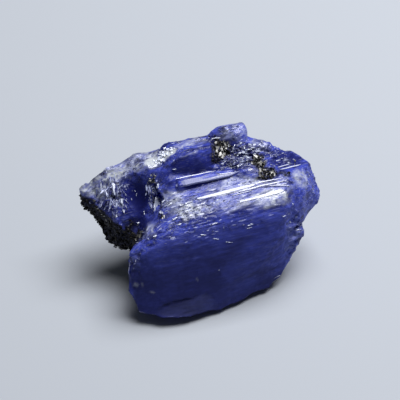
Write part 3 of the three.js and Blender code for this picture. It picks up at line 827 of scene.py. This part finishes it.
for begin, end, width in SPLINTERS_AND_GLINTS.values():
    for _ in range(3):
        # three broken pieces overlap, so the splinter's outline is uneven
        low, high = sorted(random.sample((0.0, 0.25, 0.5, 0.75, 1.0), 2))
        ends = [Vector(begin).lerp(Vector(end), part) + jitter(width * 0.2) for part in (low, high)]
        shade = random.uniform(0.5, 1.0)
        for vert in add_chip(frost_bits, *ends, width * random.uniform(0.6, 1.0), add_shard):
            vert[tone] = shade
splinters_and_glints = finish_bits(frost_bits, "frost_splinters_and_painted_glints")

# %% [markdown]
# ## The crystal's finish
# Tanzanite is a clear blue-violet crystal, but in the rough it is full of cracks and clouds. Light that
# enters a clear part is soaked up and the part looks nearly black; cloudy and broken parts send it back
# as royal blue or milky white. So part of the light is let through, by a plain transmission with an
# absorbing volume, and the rest scatters from a colour built from the masks. That colour paints most of
# the glow and the shade: royal blue is painted light sent back from inside, and navy is painted for deep
# crystal and for shade.

# %% Node helpers
def material(name):
    look = bpy.data.materials.new(name)
    look.use_nodes = True
    return look, look.node_tree, look.node_tree.nodes["Principled BSDF"]

def node(tree, kind, values=(), **settings):
    """A new node with its settings and the values of its named inputs."""
    made = tree.nodes.new(kind)
    for name, value in settings.items():
        setattr(made, name, value)
    for name, value in dict(values).items():
        made.inputs[name].default_value = value
    return made

def mask(tree, name):
    return node(tree, "ShaderNodeAttribute", attribute_name=name).outputs["Fac"]

def feed(tree, socket, value):
    """Give a socket a number, a tuple or a link."""
    if isinstance(value, (int, float, tuple)):
        socket.default_value = value
    else:
        tree.links.new(value, socket)

def blend(tree, factor, low, high, kind="RGBA"):
    """A mix of two colours, or of two vectors with kind VECTOR."""
    mix = node(tree, "ShaderNodeMix", data_type=kind)
    ends = {socket.name: socket for socket in mix.inputs if socket.type == kind}
    feed(tree, mix.inputs["Factor"], factor)
    feed(tree, ends["A"], low)
    feed(tree, ends["B"], high)
    return next(socket for socket in mix.outputs if socket.type == kind)

def calc(tree, operation, *values, clamp=False):
    """A Math node; each value is a number or a socket."""
    made = node(tree, "ShaderNodeMath", operation=operation, use_clamp=clamp)
    for index, value in enumerate(values):
        feed(tree, made.inputs[index], value)
    return made.outputs[0]

def turn(tree, operation, *values):
    """A Vector Math node; each value is a number, a tuple or a socket."""
    made = node(tree, "ShaderNodeVectorMath", operation=operation)
    for index, value in enumerate(values):
        feed(tree, made.inputs["Scale"] if (operation, index) == ("SCALE", 1) else made.inputs[index], value)
    return made.outputs[0]

def spread(tree, value, from_min, from_max, to_min=0.0, to_max=1.0):
    """A Map Range node, smooth and clamped."""
    made = node(tree, "ShaderNodeMapRange", interpolation_type="SMOOTHSTEP")
    limits = {"From Min": from_min, "From Max": from_max, "To Min": to_min, "To Max": to_max}
    for name, number in limits.items():
        made.inputs[name].default_value = number
    tree.links.new(value, made.inputs["Value"])
    return made.outputs["Result"]

def grain_noise(tree, size, stretch=1.0, detail=4.0):
    """Noise in Object coordinates with features of this size in millimetres, drawn out along X."""
    place = node(tree, "ShaderNodeTexCoord")
    fit = node(tree, "ShaderNodeMapping")
    fit.inputs["Scale"].default_value = (1 / (size * stretch * MM), 1 / (size * MM), 1 / (size * MM))
    tree.links.new(place.outputs["Object"], fit.inputs["Vector"])
    made = node(tree, "ShaderNodeTexNoise", {"Scale": 1.0, "Detail": detail})
    tree.links.new(fit.outputs["Vector"], made.inputs["Vector"])
    return made.outputs["Fac"]

# %% [markdown]
# ## Glitter
# Broken crystal flashes because each tiny facet leans its own way. Facets this small would need
# millions of faces, so two node groups lean the normal instead: one at random, for sugary places, and
# one on two shared planes, for flakes.

# %% Glitter and flakes
CROSS_BREAK = (0.62, -0.25, 0.74)  # the rest lean to the right

def group_with(name, inputs, outputs):
    """A shader node group with named sockets, and its input and output nodes' sockets."""
    tree = bpy.data.node_groups.new(name, "ShaderNodeTree")
    for way, sockets in (("INPUT", inputs), ("OUTPUT", outputs)):
        for socket, kind in sockets.items():
            tree.interface.new_socket(socket, in_out=way, socket_type="NodeSocket" + kind)
    return tree, node(tree, "NodeGroupInput").outputs, node(tree, "NodeGroupOutput").inputs

def random_cells(tree, cells):
    """A random colour in each cell; cells is a vector of cells per metre. Their borders are frayed."""
    place = turn(tree, "MULTIPLY", node(tree, "ShaderNodeTexCoord").outputs["Object"], cells)
    fray = node(tree, "ShaderNodeTexNoise", {"Scale": 1.7, "Detail": 2.0})
    tree.links.new(place, fray.inputs["Vector"])
    shift = turn(tree, "SCALE", turn(tree, "SUBTRACT", fray.outputs["Color"], (0.5, 0.5, 0.5)), 0.9)
    found = node(tree, "ShaderNodeTexVoronoi", {"Scale": 1.0})
    tree.links.new(turn(tree, "ADD", place, shift), found.inputs["Vector"])
    return found.outputs["Color"]

def glitter_group():
    """Leans the normal by a random amount in each tiny cell, as on sugary broken crystal."""
    tree, given, result = group_with(
        "glitter", {"Normal": "Vector", "Cells": "Vector", "Lean": "Float"}, {"Normal": "Vector"})
    lean = turn(tree, "SUBTRACT", random_cells(tree, given["Cells"]), (0.5, 0.5, 0.5))
    leaning = turn(tree, "ADD", given["Normal"], turn(tree, "SCALE", lean, given["Lean"]))
    tree.links.new(turn(tree, "NORMALIZE", leaning), result["Normal"])
    return tree

def flake_group():
    """Flakes in random cells, which lie on one of two common planes and so flash together."""
    tree, given, result = group_with(
        "flakes", {"Normal": "Vector", "Cells": "Vector", "Amount": "Float", "Lean": "Float"},
        {"Normal": "Vector", "Flake": "Float", "Tone": "Float"})
    chance = random_cells(tree, given["Cells"])
    parts = node(tree, "ShaderNodeSeparateColor")
    tree.links.new(chance, parts.inputs["Color"])
    there = calc(tree, "GREATER_THAN", parts.outputs["Red"], calc(tree, "SUBTRACT", 1.0, given["Amount"]))
    flat = blend(tree, calc(tree, "GREATER_THAN", parts.outputs["Green"], 0.75),
                 tuple(CLEAVAGE), CROSS_BREAK, "VECTOR")
    lean = turn(tree, "SCALE", turn(tree, "SUBTRACT", chance, (0.5, 0.5, 0.5)), given["Lean"])
    flat = turn(tree, "NORMALIZE", turn(tree, "ADD", flat, lean))
    facing = node(tree, "ShaderNodeVectorMath", operation="DOT_PRODUCT")
    tree.links.new(flat, facing.inputs[0])
    tree.links.new(given["Normal"], facing.inputs[1])
    there = calc(tree, "MULTIPLY", there, spread(tree, facing.outputs["Value"], 0.15, 0.45))
    mixed = blend(tree, there, given["Normal"], flat, "VECTOR")
    tree.links.new(turn(tree, "NORMALIZE", mixed), result["Normal"])
    tree.links.new(there, result["Flake"])
    tree.links.new(parts.outputs["Blue"], result["Tone"])
    return tree

GLITTER, FLAKES = glitter_group(), flake_group()
print("node groups:", GLITTER.name, "and", FLAKES.name)

def placed(tree, group, cell, stretch, **sockets):
    """A group in a material; cell is its facet size in millimetres, drawn out along X."""
    made = node(tree, "ShaderNodeGroup", node_tree=group)
    made.inputs["Cells"].default_value = (1 / (cell * stretch * MM), 1 / (cell * MM), 1 / (cell * MM))
    for name, value in sockets.items():
        feed(tree, made.inputs[name], value)
    return made.outputs

# %% Crystal colours
REFRACTION = 1.69    # zoisite
crystal_look, tree, shader = material("tanzanite_crystal")
milk_and_highlight_mask, crusted, cloud_and_light_mask = mask(tree, "milk_and_highlights"), mask(tree, "matrix"), mask(tree, "cloud_and_painted_light")
flaky, calm_face = mask(tree, "flakes"), mask(tree, "face")
streaks = grain_noise(tree, 0.45, stretch=8.0)
silk = spread(tree, grain_noise(tree, 0.10, stretch=9.0, detail=2.0), 0.5, 0.72)
cloud = grain_noise(tree, 1.2)
speck = grain_noise(tree, 0.12, stretch=2.5, detail=2.0)

NAVY = (0.017, 0.021, 0.16, 1)
ROYAL = (0.070, 0.098, 0.60, 1)
MILK = (0.86, 0.92, 1.0, 1)
FACE_GREY = (0.115, 0.125, 0.14, 1)
SOOT = (0.012, 0.012, 0.014, 1)
GRAVEL = (0.11, 0.105, 0.09, 1)

# %% Crystal surface
rise = node(tree, "ShaderNodeBump", {"Strength": 0.7, "Distance": 0.04 * MM})
tree.links.new(grain_noise(tree, 0.14, stretch=9.0), rise.inputs["Height"])
lean = calc(tree, "MULTIPLY", mask(tree, "glitter"), 0.9)
sugary = placed(tree, GLITTER, 0.3, 1.5, Normal=rise.outputs["Normal"], Lean=lean)["Normal"]
small = placed(tree, FLAKES, 0.12, 4.0, Normal=sugary, Amount=calc(tree, "MULTIPLY", flaky, 0.3), Lean=0.3)
flake = calc(tree, "MULTIPLY", small["Flake"], small["Tone"])
tree.links.new(small["Normal"], shader.inputs["Normal"])

# dark and light streaks, strong on the ribbed and broken parts and faint on the smooth face
unrest = calc(tree, "MULTIPLY_ADD", calm_face, -0.7, 1.0)
light_and_dark = calc(tree, "ADD", spread(tree, streaks, 0.36, 0.64, -0.5, 0.5),
                      spread(tree, cloud, 0.38, 0.62, -0.25, 0.25))
lit = calc(tree, "MULTIPLY_ADD", calc(tree, "MULTIPLY", light_and_dark, unrest), 1.45, 1.0)
# the painted light and cloud mask sets how far the colour goes from navy to royal
lit = calc(tree, "MULTIPLY", cloud_and_light_mask, lit)
blotch = calc(tree, "ADD", spread(tree, grain_noise(tree, 1.8, stretch=1.6), 0.4, 0.6, -0.06, 0.10),
              spread(tree, grain_noise(tree, 0.22, stretch=5.0), 0.35, 0.65, -0.06, 0.08))
lit = calc(tree, "ADD", lit, calc(tree, "MULTIPLY", blotch, calm_face), clamp=True)
body = blend(tree, lit, NAVY, ROYAL)
# fine whitish silk, stronger where the painted light is
silk = calc(tree, "MULTIPLY", silk, calc(tree, "MULTIPLY", cloud_and_light_mask, calc(tree, "MULTIPLY", unrest, 0.32)))
body = blend(tree, silk, body, MILK)
veil = calc(tree, "MULTIPLY", milk_and_highlight_mask, spread(tree, speck, 0.25, 0.6, 0.6, 1.15), clamp=True)
body = blend(tree, veil, body, MILK)
# flake cells are whitened: milky flakes, and partly a painted part of their flash
body = blend(tree, calc(tree, "MULTIPLY", flake, 0.55), body, MILK)
body = blend(tree, mask(tree, "face_grey"), body, FACE_GREY)
stone = blend(tree, spread(tree, speck, 0.5, 0.75), SOOT, GRAVEL)
body = blend(tree, crusted, body, stone)
tree.links.new(body, shader.inputs["Base Color"])

tree.links.new(calc(tree, "MAXIMUM", mask(tree, "gloss"), flake), shader.inputs["Coat Weight"])
shader.inputs["Coat Roughness"].default_value = 0.12
shader.inputs["Coat IOR"].default_value = REFRACTION
shader.inputs["IOR"].default_value = REFRACTION
shader.inputs["Specular IOR Level"].default_value = 0.0
shader.inputs["Specular Tint"].default_value = (0.2, 0.25, 0.75, 1)
shader.inputs["Roughness"].default_value = 0.3
shader.inputs["Transmission Weight"].default_value = 0.3
depth = node(tree, "ShaderNodeVolumeAbsorption", {"Color": (0.16, 0.20, 0.90, 1), "Density": 600.0})
tree.links.new(depth.outputs["Volume"], tree.nodes["Material Output"].inputs["Volume"])
crystal.data.materials.append(crystal_look)
print("tanzanite_crystal has", len(tree.nodes), "nodes")

# %% [markdown]
# ## The finish of the little solids
# Each flake and grain has a tone of its own, stored on its points, so no two neighbours look the same.
# Flakes and splinters are clear crystal broken so finely that it looks white, and their pale tone is
# partly a painted glint; the steps are pale as a painted highlight; matrix grains are sooty black and
# dull brown; a few grains are pale and glassy and catch the light.

# %% Colours of flakes and grains
def bits_look(name, dark, light, roughness, coat, curve):
    """A finish between two colours, led by each bit's tone and broken up by a little noise."""
    look, tree, shader = material(name)
    tone = calc(tree, "POWER", mask(tree, "tone"), curve)
    mottled = calc(tree, "MULTIPLY_ADD", grain_noise(tree, 0.08, detail=2.0), 0.5, -0.25)
    shade = calc(tree, "ADD", tone, mottled, clamp=True)
    tree.links.new(blend(tree, shade, dark, light), shader.inputs["Base Color"])
    if coat:
        tree.links.new(calc(tree, "MULTIPLY", tone, coat), shader.inputs["Coat Weight"])
    shader.inputs["Roughness"].default_value = roughness
    shader.inputs["Specular IOR Level"].default_value = 0.1
    shader.inputs["Coat Roughness"].default_value = 0.12
    shader.inputs["Coat IOR"].default_value = REFRACTION
    return look

FINISHES = [
    # piece, material, dark and light colour, roughness, coat, curve of the tone
    (flakes_with_glints, "flakes_with_painted_glints", (0.018, 0.022, 0.15, 1), (0.60, 0.68, 1.0, 1), 0.3, 0.6, 1.0),
    (highlight_steps, "steps_with_painted_highlights", (0.16, 0.18, 0.42, 1), (0.66, 0.71, 0.92, 1), 0.25, 0.6, 1.0),
    (splinters_and_glints, "white_splinters_and_painted_glints", (0.03, 0.035, 0.16, 1), (0.72, 0.79, 0.98, 1), 0.35, 0.5, 1.0),
    (dark_grains, "matrix_grains", (0.004, 0.004, 0.006, 1), (0.10, 0.095, 0.085, 1), 0.4, 0.0, 4.0),
    (bright_grains, "bright_grains", (0.105, 0.105, 0.10, 1), (0.84, 0.84, 0.83, 1), 0.3, 0.8, 1.2),
]
for piece, *finish in FINISHES:
    piece.data.materials.append(bits_look(*finish))
    print(finish[0], "has", len(piece.data.materials[0].node_tree.nodes), "nodes")

# %% [markdown]
# ## Floor, light and camera
# The stone stands on a plain pale surface under one large soft light that hangs level above it, a little
# to the right, so its shadow pools softly under it and to the left and its top catches the light.

# %% Floor
floor_mesh = bpy.data.meshes.new("floor")
bm = bmesh.new()
bmesh.ops.create_grid(bm, x_segments=1, y_segments=1, size=3.0)
bm.to_mesh(floor_mesh)
bm.free()
floor = linked("floor", floor_mesh)
floor_look, _, floor_shader = material("floor")
floor_shader.inputs["Base Color"].default_value = (0.46, 0.495, 0.555, 1)
floor_shader.inputs["Roughness"].default_value = 0.8
floor_shader.inputs["Specular IOR Level"].default_value = 0.1
floor_mesh.materials.append(floor_look)

# %% Lights
def softbox(name, place, target, size, power, colour):
    light = bpy.data.lights.new(name, "AREA")
    light.shape = "RECTANGLE"
    light.size, light.size_y = size
    light.energy = power
    light.color = colour
    lamp = bpy.data.objects.new(name, light)
    lamp.location = place
    lamp.rotation_euler = (Vector(target) - Vector(place)).to_track_quat("-Z", "Y").to_euler()
    bpy.context.scene.collection.objects.link(lamp)

softbox("overhead", (0.115, 0.030, 0.30), (0.115, 0.030, 0), (0.245, 0.215), 1.60, (1.0, 0.99, 0.98))

world = bpy.data.worlds.new("studio")
bpy.context.scene.world = world
world.use_nodes = True
world.node_tree.nodes["Background"].inputs["Color"].default_value = (0.88, 0.94, 1.0, 1)
world.node_tree.nodes["Background"].inputs["Strength"].default_value = 0.06
bpy.context.scene.view_settings.view_transform = "Standard"

# %% Camera
TURN, HEIGHT, DISTANCE = math.radians(-20), math.radians(40), 0.300
AIM = Vector((-1.2, -0.8, 9.8)) * MM
backward = Vector((math.sin(TURN) * math.cos(HEIGHT), -math.cos(TURN) * math.cos(HEIGHT), math.sin(HEIGHT)))
lens = bpy.data.cameras.new("camera")
lens.lens = 270
lens.clip_start = 0.01
eye = bpy.data.objects.new("camera", lens)
eye.location = AIM + backward * DISTANCE
eye.rotation_euler = backward.to_track_quat("Z", "Y").to_euler()
bpy.context.scene.collection.objects.link(eye)
bpy.context.scene.camera = eye
print("camera at", [round(v, 3) for v in eye.location], "metres")
